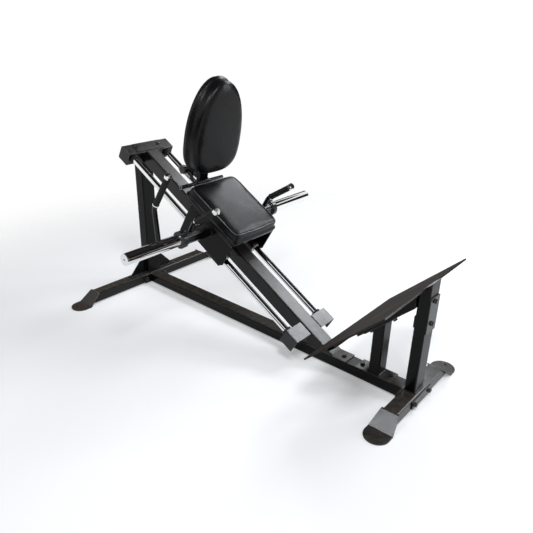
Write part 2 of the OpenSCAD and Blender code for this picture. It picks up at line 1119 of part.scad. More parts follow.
module seat_board() {
  color("Peru")
    on_rail()
      translate([seat_mid, 0, deck_h + deck_t])
        rotate([0, 0, -90])
          linear_extrude(board_t)
            polygon(oval(seat_w / 2 - 9, seat_len / 2 - 9, seat_len / 2 - 9, seat_square, seat_square));
}

module seat_pad() {
  t = seat_thick;
  color("Black")
    on_rail()
      translate([seat_mid, 0, seat_z])
        rotate([0, 0, -90])
          cushion(seat_w / 2, seat_len / 2, seat_len / 2, seat_square, seat_square,
            [[3, 0], [0, 4], [0, 11], [4, 15], [8, 20], [8, t - 14], [9, t - 7], [12, t - 2.5], [17, t],
             [60, t + 1.5], [110, t + 2.5]], t + 3);
}

module hinge_lugs() {
  color("DimGray")
    on_rail()
      both_sides()
        translate([carriage_at, lug_in + lug_t / 2, 0])
          along_y(lug_t)
            difference() {
              union() {
                translate([-hinge_back, hinge_up])
                  circle(16);
                polygon([[-hinge_back, hinge_up - 16], [0, deck_h - 22], [0, deck_h + deck_t],
                         [-seat_back - 3, deck_h + deck_t], [-hinge_back, hinge_up + 16]]);
              }
              translate([-hinge_back, hinge_up])
                circle(d = hinge_d + 2 * fit);
            }
}

module hinge_bar() {
  color("DimGray")
    on_rail()
      translate([hinge_s, 0, hinge_up])
        difference() {
          rod_y(hinge_d, -hinge_half, hinge_half);
          rod_y(hinge_d - 6, -big, big);
        }
}

module on_stud() {
  a = 180 - stud_dir + rail_angle;
  on_rail()
    translate([hinge_s + stud_r * cos(a), 0, hinge_up + stud_r * sin(a)])
      children();
}

// Plate beside the quadrant, hung under the tongue of the deck, and the headed stud that it holds
module clamp_bracket() {
  a = 180 - stud_dir + rail_angle;
  stud = [stud_r * cos(a) - hinge_back, hinge_up + stud_r * sin(a)];
  tongue = hinge_back - bush_d / 2 - 6;
  low = deck_h - 24;
  color("DimGray")
    on_rail()
      translate([carriage_at, bracket_t / 2 - bracket_y, 0])
        along_y(bracket_t)
          difference() {
            union() {
              translate(stud)
                circle(16);
              polygon([[0, low], [0, deck_h], [-tongue, deck_h], [-tongue, hinge_up - 21],
                       [-hinge_back - 42, hinge_up - 21], [stud[0] + 4, stud[1] + 15],
                       [stud[0] - 4, stud[1] - 15], [-hinge_back - 30, low]]);
            }
            translate(stud)
              circle(d = stud_d + 2 * fit);
          }
  color("DimGray")
    on_stud() {
      rod_y(stud_d, -bracket_y - quadrant_gap - stud_reach, quadrant_t / 2 + 3);
      rod_y(22, quadrant_t / 2 + quadrant_gap, quadrant_t / 2 + 6);
    }
}

// Tilting spine: a flat tube behind the board, a neck and the bush that turns on the hinge bar
module back_spine() {
  color("DimGray")
    on_hinge()
      difference() {
        union() {
          translate([spine_back + spine_t / 2, 0, 24])
            linear_extrude(pad_gap + pad_down + 60)
              difference() {
                round_rect(spine_t, spine_w, 3);
                round_rect(spine_t - 5, spine_w - 5, 1);
              }
          translate([bush_d / 4 - neck_t, -spine_w / 2, 0])
            cube([neck_t, spine_w, 54]);
          rod_y(bush_d, -lug_in + quadrant_gap, lug_in - quadrant_gap);
        }
        rod_y(hinge_d + 2 * fit, -big, big);
      }
}

// Quarter plate with an arc slot round the hinge; the clamp stud stays in the slot as it tilts
module back_quadrant() {
  mid = 90 - stud_dir + back_lean;
  slot = stud_d / 2 + quadrant_gap;
  color("Gray")
    on_hinge()
      along_y(quadrant_t)
        difference() {
          intersection() {
            circle(quadrant_r);
            polygon([[0, 0], 3 * quadrant_r * [-sin(mid + 9), cos(mid + 9)],
                     [-3 * quadrant_r, 3 * quadrant_r], 3 * quadrant_r * [-sin(28), cos(28)]]);
            translate([spine_back - big, -big / 2])
              square([big, big]);
          }
          intersection() {
            difference() {
              circle(stud_r + slot);
              circle(stud_r - slot);
            }
            polygon([[0, 0], 3 * stud_r * [-sin(mid), cos(mid)],
                     3 * stud_r * [-sin(mid - tilt_range), cos(mid - tilt_range)]]);
          }
          for (a = [mid, mid - tilt_range])
            translate(stud_r * [-sin(a), cos(a)])
              circle(slot);
        }
}

module back_board() {
  color("Peru")
    on_hinge()
      translate([spine_front, 0, pad_gap + pad_down])
        along_x()
          linear_extrude(board_t)
            polygon(oval(pad_half - 10, pad_up - 10, pad_down - 10, 2, 3));
}

module back_pad() {
  t = pad_thick;
  color("Black")
    on_hinge()
      translate([pad_fwd, 0, pad_gap + pad_down])
        along_x()
          cushion(pad_half, pad_up, pad_down, 2, 3,
            [[3, 0], [0, 4], [0, 13], [5, 18], [9, 25], [8, t - 28], [9, t - 14], [13, t - 6], [20, t - 2],
             [32, t], [70, t + 1.5], [110, t + 2.5]], t + 3);
}

module on_shaft() {
  on_rail()
    translate([shaft_s, 0, -shaft_down])
      children();
}

module on_lever() {
  on_shaft()
    translate([0, -lever_y, 0])
      rotate([0, -lever_tilt, 0])
        children();
}

module lock_shaft() {
  color("DimGray")
    on_shaft()
      rod_y(shaft_d, -lever_y - handle_d / 2 - 3, side_in + side_t + 5);
}

module lock_pawl() {
  color("Gray")
    on_shaft()
      difference() {
        union() {
          rod_y(pawl_hub_d, -pawl_w / 2, pawl_w / 2);
          along_y(pawl_w)
            rotate(pawl_rest)
              polygon([[0, 12], [pawl_r + 4, 5], [pawl_r + 4, -5], [0, -12]]);
        }
        rod_y(shaft_d + 2 * fit, -big, big);
      }
}

module lock_lever() {
  color("DimGray")
    difference() {
      on_lever()
        bent_tube(handle_d, lever_leg, lever_bend, handle_tail + lever_grip_len);
      on_shaft()
        rod_y(shaft_d + 2 * fit, -big, big);
    }
}

module lock_grip() {
  color("Black")
    on_lever()
      after_bend(lever_leg, lever_bend)
        translate([0, 0, handle_tail])
          ribbed_grip(lever_grip_len, handle_d + 2 * fit);
}

module lock_trim() {
  color("LightGray")
    on_lever()
      after_bend(lever_leg, lever_bend)
        translate([0, 0, handle_tail])
          grip_trim(lever_grip_len, handle_d + 2 * fit);
}

// Lobed hand knob that turns on the free end of the stud
module clamp_knob() {
  face = -bracket_y - quadrant_gap;
  color("Black")
    on_stud()
      difference() {
        union() {
          rod_y(24, face - 13, face);
          rod_y(42, face - 34, face - 12);
        }
        rod_y(stud_d + 2 * fit, face - stud_reach - 1, big);
        for (a = [0 : 60 : 300])
          rotate([0, a, 0])
            translate([25, 0, 0])
              rod_y(16, face - 50, face - 12);
      }
}

rear_cross_tube();
front_cross_tube();
rear_feet();
front_feet();
base_beam();
beam_flanges();
joint_bolts();
beam_bolts();
rear_upright();
upright_gussets();
head_seat();
head_block();
head_caps();
head_saddle();
head_bolts();
main_rail();
rail_foot_plate();
guide_rod_right();
guide_rod_left();
lower_block_right();
lower_block_left();
rod_nuts();
rod_buffers();
lock_stops();
front_post();
front_post_plate();
post_bolts();
short_post();
short_post_flanges();
foot_plate();
foot_plate_channel();
foot_plate_bar();
carriage_side_right();
carriage_side_left();
carriage_deck();
bearing_blocks();
linear_bearings();
horn_tube();
horn_collars();
sleeve_right();
sleeve_left();
sleeve_plugs();
handle_tubes();
handle_grips();
handle_trims();
seat_board();
seat_pad();
hinge_lugs();
hinge_bar();
clamp_bracket();
back_spine();
back_quadrant();
back_board();
back_pad();
lock_shaft();
lock_pawl();
lock_lever();
lock_grip();
lock_trim();
clamp_knob();
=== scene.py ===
# %% [markdown]
# # A plate-loaded leg press, dressed over its CAD frame
# The machine is a welded and bolted steel frame with chrome rods, two upholstered pads and rubber
# grips. Every rigid piece already exists as a CAD node with its real size, so this lesson adds what
# CAD leaves out: the finishes, some with painted light and shade, the stuffed cushions, a welt, the
# weld beads, dark hole plugs as painted shade and the studio. Everything is in metres.

# %% Load the frame
import json
import math

import bmesh
import bpy
import numpy as np
from mathutils import Matrix, Vector


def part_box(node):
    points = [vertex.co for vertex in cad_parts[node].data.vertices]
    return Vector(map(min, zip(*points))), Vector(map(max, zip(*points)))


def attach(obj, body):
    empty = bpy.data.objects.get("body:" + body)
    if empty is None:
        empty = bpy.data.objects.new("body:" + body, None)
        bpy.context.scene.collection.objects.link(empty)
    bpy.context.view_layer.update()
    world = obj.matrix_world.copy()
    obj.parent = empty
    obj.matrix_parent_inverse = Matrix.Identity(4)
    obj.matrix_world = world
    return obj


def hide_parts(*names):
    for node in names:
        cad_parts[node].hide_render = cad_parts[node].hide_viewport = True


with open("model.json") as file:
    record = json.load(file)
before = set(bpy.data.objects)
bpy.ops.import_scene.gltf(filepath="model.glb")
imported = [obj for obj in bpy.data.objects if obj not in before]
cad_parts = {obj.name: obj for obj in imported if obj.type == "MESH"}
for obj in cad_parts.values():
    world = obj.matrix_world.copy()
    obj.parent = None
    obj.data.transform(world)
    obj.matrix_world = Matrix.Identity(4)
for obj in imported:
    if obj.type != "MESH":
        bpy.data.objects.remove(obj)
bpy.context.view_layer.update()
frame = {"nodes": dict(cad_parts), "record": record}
nodes = frame["nodes"]

# %% [markdown]
# ## The camera
# A product photograph is taken from a little above the seat, well off to one side. A camera could be
# aimed by eye with a Track To constraint, but a matched picture needs the real viewing angle, so the
# axes are built from an azimuth, an elevation and a small roll, and a slight lens shift puts the
# machine where the picture has it.

# %% Camera
view_turn, view_rise, view_roll = (math.radians(angle) for angle in (41.613, 24.532, 0.503))
camera_place = (1.4204, -1.6566, 1.3079)
film_width, focal_length = 36.0, 36.22
frame_shift = (0.0303, 0.0007)

scene = bpy.context.scene
back_axis = Vector((math.sin(view_turn) * math.cos(view_rise),
                    -math.cos(view_turn) * math.cos(view_rise), math.sin(view_rise)))
level_right = (-back_axis).cross(Vector((0, 0, 1))).normalized()
level_up = level_right.cross(-back_axis)
roll_c, roll_s = math.cos(view_roll), math.sin(view_roll)
right_axis = roll_c * level_right + roll_s * level_up
up_axis = roll_c * level_up - roll_s * level_right
camera = bpy.data.objects.new("studio_camera", bpy.data.cameras.new("studio_camera"))
scene.collection.objects.link(camera)
camera.matrix_world = Matrix.Translation(camera_place) @ Matrix(
    (right_axis, up_axis, back_axis)).transposed().to_4x4()
camera.data.sensor_width = film_width
camera.data.lens = focal_length
camera.data.shift_x, camera.data.shift_y = frame_shift
bpy.context.scene.camera = camera
print("camera at", [round(v, 3) for v in camera.location])

# %% [markdown]
# ## The studio
# The picture has a plain white ground, and chrome shows whatever stands around it. One bright sky
# would make the chrome a flat white and the black paint a flat grey, so the room is white, and dark
# and tan cards stand out of view for the metal to mirror. The lamps are small, and most stand where
# a face or a rounded edge of the machine mirrors them towards the camera as a highlight.

# %% Shader helpers
def add_node(tree, kind, **settings):
    made = tree.nodes.new(kind)
    for name, value in settings.items():
        setattr(made, name, value)
    return made


def preset(made, **values):
    for title, value in values.items():
        made.inputs[title.replace("_", " ")].default_value = value
    return made


def wire(tree, source, target):
    tree.links.new(source, target)


def combine(tree, operation, *terms):
    made = add_node(tree, "ShaderNodeMath", operation=operation)
    for socket, term in zip(made.inputs, terms):
        if isinstance(term, float):
            socket.default_value = term
        else:
            wire(tree, term, socket)
    return made.outputs[0]


def blank_material(name):
    made = bpy.data.materials.new(name)
    made.use_nodes = True
    return made, made.node_tree, made.node_tree.nodes["Principled BSDF"]


def seen_rays(tree):
    ray = add_node(tree, "ShaderNodeLightPath")
    direct = combine(tree, "MAXIMUM", ray.outputs["Is Camera Ray"], ray.outputs["Is Glossy Ray"])
    return combine(tree, "MAXIMUM", direct, ray.outputs["Is Transmission Ray"])


print("shader helpers ready")

# %% White room
white = (1, 1, 1, 1)
fill_tint, fill_strength = (0.94, 0.96, 1.0, 1), 0.08
scene.view_settings.view_transform = "Standard"
world = bpy.data.worlds.new("studio_room")
world.use_nodes = True
scene.world = world
room = world.node_tree
room.nodes.clear()
seen_white = preset(add_node(room, "ShaderNodeBackground"), Color=white, Strength=1.0)
soft_fill = preset(add_node(room, "ShaderNodeBackground"), Color=fill_tint, Strength=fill_strength)
room_mix = add_node(room, "ShaderNodeMixShader")
room_out = add_node(room, "ShaderNodeOutputWorld")
wire(room, seen_rays(room), room_mix.inputs[0])
wire(room, soft_fill.outputs[0], room_mix.inputs[1])
wire(room, seen_white.outputs[0], room_mix.inputs[2])
wire(room, room_mix.outputs[0], room_out.inputs["Surface"])
print("room fill:", fill_strength)

# %% Floor that fades into the room
floor_half = 9
floor_tone, floor_rough, floor_glow = (0.72, 0.72, 0.72, 1), 0.9, 0.31
fade_start, fade_end = 1.2, 2.6
floor_corners = [(x * floor_half, y * floor_half, 0) for x, y in ((-1, -1), (1, -1), (1, 1), (-1, 1))]
floor_mesh = bpy.data.meshes.new("studio_floor")
floor_mesh.from_pydata(floor_corners, [], [(0, 1, 2, 3)])
floor = bpy.data.objects.new("studio_floor", floor_mesh)
scene.collection.objects.link(floor)
floor_finish, floor_tree, floor_bsdf = blank_material("studio_floor")
preset(floor_bsdf, Base_Color=floor_tone, Roughness=floor_rough, Emission_Color=white)
wire(floor_tree, combine(floor_tree, "MULTIPLY", seen_rays(floor_tree), floor_glow),
     floor_bsdf.inputs["Emission Strength"])
floor_place = add_node(floor_tree, "ShaderNodeTexCoord")
floor_reach = add_node(floor_tree, "ShaderNodeVectorMath", operation="LENGTH")
floor_fade = preset(add_node(floor_tree, "ShaderNodeMapRange", interpolation_type="SMOOTHSTEP"),
                    From_Min=fade_start, From_Max=fade_end, To_Min=1.0, To_Max=0.0)
wire(floor_tree, floor_place.outputs["Object"], floor_reach.inputs[0])
wire(floor_tree, floor_reach.outputs["Value"], floor_fade.inputs["Value"])
wire(floor_tree, floor_fade.outputs["Result"], floor_bsdf.inputs["Alpha"])
floor_mesh.materials.append(floor_finish)
print("floor fades from", fade_start, "to", fade_end)

# %% Lamps
cool_white = (0.93, 0.96, 1.0)


def soft_lamp(name, place, aim, size, watts):
    lamp = bpy.data.lights.new(name, "AREA")
    lamp.shape = "RECTANGLE"
    lamp.size, lamp.size_y = size
    lamp.energy = watts
    lamp.color = cool_white
    holder = bpy.data.objects.new(name, lamp)
    scene.collection.objects.link(holder)
    holder.location = place
    holder.rotation_euler = (Vector(aim) - Vector(place)).to_track_quat("-Z", "Y").to_euler()
    holder.visible_camera = False
    return holder


lamps = [
    soft_lamp("lamp_key", (1.55, -1.1, 3.0), (-0.3, 0, 0.8), (0.6, 1.1), 50),
    soft_lamp("lamp_near_edge", (-0.1, -2.15, 2.95), (0.2, 0, 0.4), (1.0, 0.4), 26),
    soft_lamp("lamp_lower_rail", (1.05, 2.95, 2.95), (0.3, 0, 0.2), (1.3, 1.0), 56),
    soft_lamp("lamp_upper_rail", (-0.5, 2.15, 2.95), (-0.3, 0, 0.5), (1.8, 0.9), 11),
    soft_lamp("lamp_front_tube", (-0.85, 3.3, 3.4), (0.4, 0, 0.2), (1.0, 1.6), 46),
    soft_lamp("lamp_horn", (3.4, 2.4, 2.6), (-0.2, -0.2, 0.5), (0.6, 0.6), 17),
    soft_lamp("lamp_foot_side", (3.3, 3.3, 1.3), (0.5, 0, 0.4), (0.6, 2.0), 60)]
print("lamps:", len(lamps))

# %% Dark and tan cards
black_cloth, tan_board, card_rough = (0.012, 0.012, 0.013), (0.42, 0.28, 0.18), 0.95


def card(name, place, turn, width, height, tone, lean=0):
    card_mesh = bpy.data.meshes.new(name)
    w, h = width / 2, height / 2
    card_mesh.from_pydata([(-w, 0, -h), (w, 0, -h), (w, 0, h), (-w, 0, h)], [], [(0, 1, 2, 3)])
    stand = bpy.data.objects.new(name, card_mesh)
    scene.collection.objects.link(stand)
    stand.location = place
    stand.rotation_euler = (math.radians(lean), 0, math.radians(turn))
    stand.visible_camera = False
    stand.visible_shadow = False
    stand.visible_diffuse = False
    cloth, _, cloth_bsdf = blank_material(name)
    preset(cloth_bsdf, Base_Color=tone + (1,), Roughness=card_rough)
    card_mesh.materials.append(cloth)
    return stand


cards = [
    card("card_near", (0.3, -4.2, 1.1), 0, 6.0, 2.2, black_cloth),
    card("card_head_low", (-3.6, 0.8, 1.1), 90, 5.0, 1.2, tan_board),
    card("card_head_high", (-3.6, 1.4, 2.6), 90, 5.0, 1.7, black_cloth),
    card("card_above", (0.0, 0.75, 4.4), 0, 10.0, 9.0, black_cloth, lean=90),
    card("card_far", (0.0, 4.3, 1.5), 0, 11.0, 2.6, black_cloth),
    card("card_far_tan", (-2.6, 4.2, 2.4), 0, 3.6, 0.9, tan_board),
    card("card_foot_high", (4.6, 1.6, 2.9), 90, 6.0, 2.8, black_cloth),
    card("card_foot_low", (4.5, 1.2, 0.9), 90, 5.0, 1.0, tan_board)]
print("cards:", len(cards))

# %% [markdown]
# ## Shared surface effects
# Powder coat and rubber need a fine grain, and every painted face needs a slow change of tone so
# that it does not look like plastic. Each effect could be wired again in every material. Instead it
# is one node group with named inputs, placed in each material with its own values, so that a change
# to the effect is made once. The groups read object coordinates, which are the machine's own metres,
# so a grain has the same size on every piece.

# %% Group helpers
def new_group(name, inputs, outputs):
    group = bpy.data.node_groups.new(name, "ShaderNodeTree")
    for title, kind, value in inputs:
        socket = group.interface.new_socket(name=title, in_out="INPUT", socket_type=kind)
        socket.default_value = value
    for title, kind in outputs:
        group.interface.new_socket(name=title, in_out="OUTPUT", socket_type=kind)
    return group, add_node(group, "NodeGroupInput"), add_node(group, "NodeGroupOutput")


def place_group(tree, group, **values):
    return preset(add_node(tree, "ShaderNodeGroup", node_tree=group), **values)


number, colour, direction = "NodeSocketFloat", "NodeSocketColor", "NodeSocketVector"
print("group helpers ready")

# %% Fine grain
def make_fine_grain():
    group, gin, gout = new_group(
        "fine_grain", [("Scale", number, 900.0), ("Softness", number, 0.5)], [("Height", number)])
    coords = add_node(group, "ShaderNodeTexCoord")
    grain = preset(add_node(group, "ShaderNodeTexNoise"), Detail=3.0)
    wire(group, coords.outputs["Object"], grain.inputs["Vector"])
    wire(group, gin.outputs["Scale"], grain.inputs["Scale"])
    wire(group, gin.outputs["Softness"], grain.inputs["Roughness"])
    wire(group, grain.outputs["Fac"], gout.inputs["Height"])
    return group


fine_grain = make_fine_grain()
print("group:", fine_grain.name)

# %% [markdown]
# ### Slow tone, dust and top sheen
# Real paint drifts a little in tone and gloss over a hand's breadth, and dust settles in patches on
# faces that look up. Both could be painted on by hand. A large noise gives the drift here, and the
# upward part of the normal times a smaller noise gives a lighter, warm tone on faces that look up,
# partly dust and partly a painted sheen of light on the tops, so every piece gets its own.

# %% Tone drift
# Warm tone on faces that look up: partly dust, partly a painted sheen of light on the tops.
dust_and_sheen_tone = (0.16, 0.14, 0.12, 1)


def make_tone_drift():
    group, gin, gout = new_group(
        "tone_drift",
        [("Scale", number, 7.0), ("Dark", colour, (0.02, 0.02, 0.02, 1)),
         ("Light", colour, (0.04, 0.04, 0.04, 1)), ("Rough Low", number, 0.3),
         ("Rough High", number, 0.5), ("Dust", number, 0.0)],
        [("Color", colour), ("Roughness", number)])
    coords = add_node(group, "ShaderNodeTexCoord")
    drift = preset(add_node(group, "ShaderNodeTexNoise"), Detail=6.0, Roughness=0.6)
    wire(group, coords.outputs["Object"], drift.inputs["Vector"])
    wire(group, gin.outputs["Scale"], drift.inputs["Scale"])
    tone = add_node(group, "ShaderNodeMix", data_type="RGBA")
    wire(group, drift.outputs["Fac"], tone.inputs["Factor"])
    wire(group, gin.outputs["Dark"], tone.inputs["A"])
    wire(group, gin.outputs["Light"], tone.inputs["B"])
    facing = add_node(group, "ShaderNodeNewGeometry")
    split = add_node(group, "ShaderNodeSeparateXYZ")
    wire(group, facing.outputs["Normal"], split.inputs[0])
    upward = preset(add_node(group, "ShaderNodeMapRange"), From_Min=0.55, From_Max=1.0)
    wire(group, split.outputs["Z"], upward.inputs["Value"])
    patches = preset(add_node(group, "ShaderNodeTexNoise"), Scale=38.0, Detail=5.0)
    wire(group, coords.outputs["Object"], patches.inputs["Vector"])
    dust_and_sheen_fall = combine(group, "MULTIPLY", upward.outputs["Result"], patches.outputs["Fac"])
    dust_and_sheen_amount = combine(group, "MULTIPLY", dust_and_sheen_fall, gin.outputs["Dust"])
    dust_and_sheen_mix = preset(add_node(group, "ShaderNodeMix", data_type="RGBA"), B=dust_and_sheen_tone)
    wire(group, dust_and_sheen_amount, dust_and_sheen_mix.inputs["Factor"])
    wire(group, tone.outputs["Result"], dust_and_sheen_mix.inputs["A"])
    gloss = preset(add_node(group, "ShaderNodeMapRange"), From_Min=0.3, From_Max=0.7)
    wire(group, drift.outputs["Fac"], gloss.inputs["Value"])
    wire(group, gin.outputs["Rough Low"], gloss.inputs["To Min"])
    wire(group, gin.outputs["Rough High"], gloss.inputs["To Max"])
    wire(group, dust_and_sheen_mix.outputs["Result"], gout.inputs["Color"])
    wire(group, gloss.outputs["Result"], gout.inputs["Roughness"])
    return group


tone_drift = make_tone_drift()
print("group:", tone_drift.name)

# %% [markdown]
# ### Rounded, worn and highlighted edges
# No steel edge is perfectly sharp, and paint is thinnest there. Real bevels would have to change the
# CAD meshes, so the Bevel node rounds the normal alone. Where that normal turns away from the flat
# face there is an edge, and a noise breaks it into chips. The coats paint this edge lighter, partly as
# bare metal where paint is worn and partly as a painted highlight along the edge.

# %% Soft edge
def make_soft_edge():
    group, gin, gout = new_group(
        "soft_edge", [("Radius", number, 0.0015), ("Spread", number, 0.25)],
        [("Normal", direction), ("Edge", number)])
    rounding = add_node(group, "ShaderNodeBevel", samples=4)
    wire(group, gin.outputs["Radius"], rounding.inputs["Radius"])
    flat = add_node(group, "ShaderNodeNewGeometry")
    match = add_node(group, "ShaderNodeVectorMath", operation="DOT_PRODUCT")
    wire(group, rounding.outputs["Normal"], match.inputs[0])
    wire(group, flat.outputs["Normal"], match.inputs[1])
    turned = combine(group, "SUBTRACT", 1.0, match.outputs["Value"])
    chips = preset(add_node(group, "ShaderNodeTexNoise"), Scale=60.0, Detail=5.0)
    place = add_node(group, "ShaderNodeTexCoord")
    wire(group, place.outputs["Object"], chips.inputs["Vector"])
    broken = combine(group, "MULTIPLY", turned, chips.outputs["Fac"])
    wear_and_highlight_mask = add_node(group, "ShaderNodeMapRange")
    wire(group, broken, wear_and_highlight_mask.inputs["Value"])
    wire(group, gin.outputs["Spread"], wear_and_highlight_mask.inputs["From Max"])
    wire(group, rounding.outputs["Normal"], gout.inputs["Normal"])
    wire(group, wear_and_highlight_mask.outputs["Result"], gout.inputs["Edge"])
    return group


soft_edge = make_soft_edge()
print("group:", soft_edge.name)

# %% [markdown]
# ### Hide grain
# Upholstery vinyl is embossed like leather: small rounded cells with valleys between them, over slow
# stretch folds. A noise alone looks like sand, so the cells are a Voronoi texture whose coordinates
# sway a little, and a larger noise adds the folds.

# %% Hide grain
def make_hide_grain():
    group, gin, gout = new_group(
        "hide_grain", [("Scale", number, 420.0), ("Crease", number, 0.5)],
        [("Height", number), ("Valley", number)])
    coords = add_node(group, "ShaderNodeTexCoord")
    sway = preset(add_node(group, "ShaderNodeTexNoise"), Scale=90.0)
    wire(group, coords.outputs["Object"], sway.inputs["Vector"])
    bent = preset(add_node(group, "ShaderNodeMix", data_type="VECTOR"), Factor=0.012)
    wire(group, coords.outputs["Object"], bent.inputs["A"])
    wire(group, sway.outputs["Color"], bent.inputs["B"])
    cells = add_node(group, "ShaderNodeTexVoronoi", feature="DISTANCE_TO_EDGE")
    wire(group, bent.outputs["Result"], cells.inputs["Vector"])
    wire(group, gin.outputs["Scale"], cells.inputs["Scale"])
    rounded = preset(add_node(group, "ShaderNodeMapRange", interpolation_type="SMOOTHSTEP"),
                     From_Max=0.22)
    wire(group, cells.outputs["Distance"], rounded.inputs["Value"])
    folds = preset(add_node(group, "ShaderNodeTexNoise"), Scale=26.0, Detail=4.0, Distortion=0.6)
    wire(group, coords.outputs["Object"], folds.inputs["Vector"])
    creases = combine(group, "MULTIPLY", folds.outputs["Fac"], gin.outputs["Crease"])
    wire(group, combine(group, "ADD", rounded.outputs["Result"], creases), gout.inputs["Height"])
    wire(group, combine(group, "SUBTRACT", 1.0, rounded.outputs["Result"]), gout.inputs["Valley"])
    return group


hide_grain = make_hide_grain()
print("group:", hide_grain.name)

# %% [markdown]
# ## Coats
# The frame is powder coated in a satin black: dark, a little warm and lighter on top where dust lies
# and where a sheen of light is painted in, with a fine orange-peel skin that spreads reflections.
# Bolts, bearings, rubber, plastic and the stained boards differ from it only in tone, gloss, grain
# and metal, so one maker with named values serves them all.
# The tread has its coarse anti-slip grain on the walked face alone, so its maker is told which face.

# %% Coat maker
skin_depth, coat_rough, walked_match, side_rough = 0.0004, 0.12, 0.9, 0.2


def grain_on_one_face(tree, face, height, gloss):
    facing = add_node(tree, "ShaderNodeNewGeometry")
    match = add_node(tree, "ShaderNodeVectorMath", operation="DOT_PRODUCT")
    match.inputs[1].default_value = face
    wire(tree, facing.outputs["True Normal"], match.inputs[0])
    walked = combine(tree, "GREATER_THAN", match.outputs["Value"], walked_match)
    duller = preset(add_node(tree, "ShaderNodeMapRange"), To_Min=side_rough)
    wire(tree, walked, duller.inputs["Value"])
    wire(tree, gloss, duller.inputs["To Max"])
    return combine(tree, "MULTIPLY", height, walked), duller.outputs["Result"]


def coat_finish(name, dark, light, rough, dust_and_sheen, grain_scale, bump, specular, metallic=0.0, coat=0.0,
                edge=0.0015, edge_wear_and_highlight=None, grained_face=None):
    made, tree, bsdf = blank_material(name)
    tone = place_group(tree, tone_drift, Dark=dark + (1,), Light=light + (1,), Rough_Low=rough[0],
                       Rough_High=rough[1], Dust=dust_and_sheen)
    grain = place_group(tree, fine_grain, Scale=grain_scale)
    rim = place_group(tree, soft_edge, Radius=edge)
    height, gloss = grain.outputs["Height"], tone.outputs["Roughness"]
    if grained_face:
        height, gloss = grain_on_one_face(tree, grained_face, height, gloss)
    skin = preset(add_node(tree, "ShaderNodeBump"), Strength=bump, Distance=skin_depth)
    wire(tree, rim.outputs["Normal"], skin.inputs["Normal"])
    wire(tree, height, skin.inputs["Height"])
    # Lighter edge colour: partly bare metal where paint is worn, partly a painted highlight along each
    # edge.
    edge_wear_and_highlight_tone = edge_wear_and_highlight or tuple(min(1.0, 4 * v + 0.02) for v in light)
    worn = preset(add_node(tree, "ShaderNodeMix", data_type="RGBA"), B=edge_wear_and_highlight_tone + (1,))
    wire(tree, rim.outputs["Edge"], worn.inputs["Factor"])
    wire(tree, tone.outputs["Color"], worn.inputs["A"])
    wire(tree, worn.outputs["Result"], bsdf.inputs["Base Color"])
    wire(tree, gloss, bsdf.inputs["Roughness"])
    wire(tree, skin.outputs["Normal"], bsdf.inputs["Normal"])
    preset(bsdf, Specular_IOR_Level=specular, Metallic=metallic, Coat_Weight=coat,
           Coat_Roughness=coat_rough)
    print("coat:", name)
    return made


print("coat maker ready, skin depth", skin_depth)

# %% [markdown]
# ### Black paint
# Posts, beam and side plates are sawn tube and plate, and the feet and the lower blocks are pressed.
# The black paint comes in three copies that paint in light and shade: the posts, beam and plates get a
# darker, duller copy as painted shade, the feet and lower blocks a lighter, glossier copy as painted
# highlight, and the rest is satin. All get a lighter edge, partly bare metal where an edge is rubbed
# and partly a painted highlight.

# %% Paint on the frame and the tread
satin_black = coat_finish(
    "satin_black_coat", dark=(0.0025, 0.0025, 0.0027), light=(0.006, 0.0057, 0.0055),
    rough=(0.17, 0.25), dust_and_sheen=0.50, grain_scale=1100.0, bump=0.14, specular=0.27,
    edge=0.002, edge_wear_and_highlight=(0.20, 0.21, 0.23))
# Darker, duller copy of the satin paint, as painted shade on the upright pieces.
shaded_copy_black = coat_finish(
    "shaded_copy_black_coat", dark=(0.0020, 0.0020, 0.0021), light=(0.005, 0.0047, 0.0045),
    rough=(0.19, 0.28), dust_and_sheen=0.40, grain_scale=1100.0, bump=0.14, specular=0.13,
    edge=0.002, edge_wear_and_highlight=(0.20, 0.21, 0.23))
# Lighter, glossier copy of the satin paint, as painted highlight on the feet and lower blocks.
lit_copy_black = coat_finish(
    "lit_copy_black_coat", dark=(0.0030, 0.0030, 0.0033), light=(0.007, 0.0067, 0.0067),
    rough=(0.19, 0.28), dust_and_sheen=0.40, grain_scale=1100.0, bump=0.16, specular=0.42,
    edge=0.002, edge_wear_and_highlight=(0.22, 0.23, 0.25))
tread_black = coat_finish(
    "tread_black_coat", dark=(0.010, 0.008, 0.0065), light=(0.032, 0.024, 0.018),
    rough=(0.66, 0.82), dust_and_sheen=0.10, grain_scale=420.0, bump=0.8, specular=0.10,
    edge=0.0025, edge_wear_and_highlight=(0.13, 0.135, 0.15), grained_face=(-0.6934, 0.0, 0.7206))

# %% Bare steel, plastic, rubber and board
oxide_steel = coat_finish(
    "oxide_bolt_steel", dark=(0.030, 0.030, 0.032), light=(0.075, 0.073, 0.072),
    rough=(0.28, 0.44), dust_and_sheen=0.05, grain_scale=700.0, bump=0.2, specular=0.5, metallic=0.85)
bearing_steel = coat_finish(
    "ground_bearing_steel", dark=(0.36, 0.36, 0.37), light=(0.50, 0.50, 0.51),
    rough=(0.22, 0.34), dust_and_sheen=0.0, grain_scale=900.0, bump=0.1, specular=0.5, metallic=1.0)
drawn_steel = coat_finish(
    "drawn_bar_steel", dark=(0.19, 0.19, 0.20), light=(0.28, 0.28, 0.29),
    rough=(0.14, 0.22), dust_and_sheen=0.0, grain_scale=900.0, bump=0.06, specular=0.5, metallic=1.0)
gloss_black = coat_finish(
    "gloss_black_collar", dark=(0.004, 0.004, 0.005), light=(0.010, 0.010, 0.011),
    rough=(0.14, 0.24), dust_and_sheen=0.05, grain_scale=500.0, bump=0.08, specular=0.30, coat=0.15)
ribbed_rubber = coat_finish(
    "ribbed_black_rubber", dark=(0.005, 0.005, 0.005), light=(0.012, 0.012, 0.012),
    rough=(0.46, 0.60), dust_and_sheen=0.08, grain_scale=800.0, bump=0.5, specular=0.22)
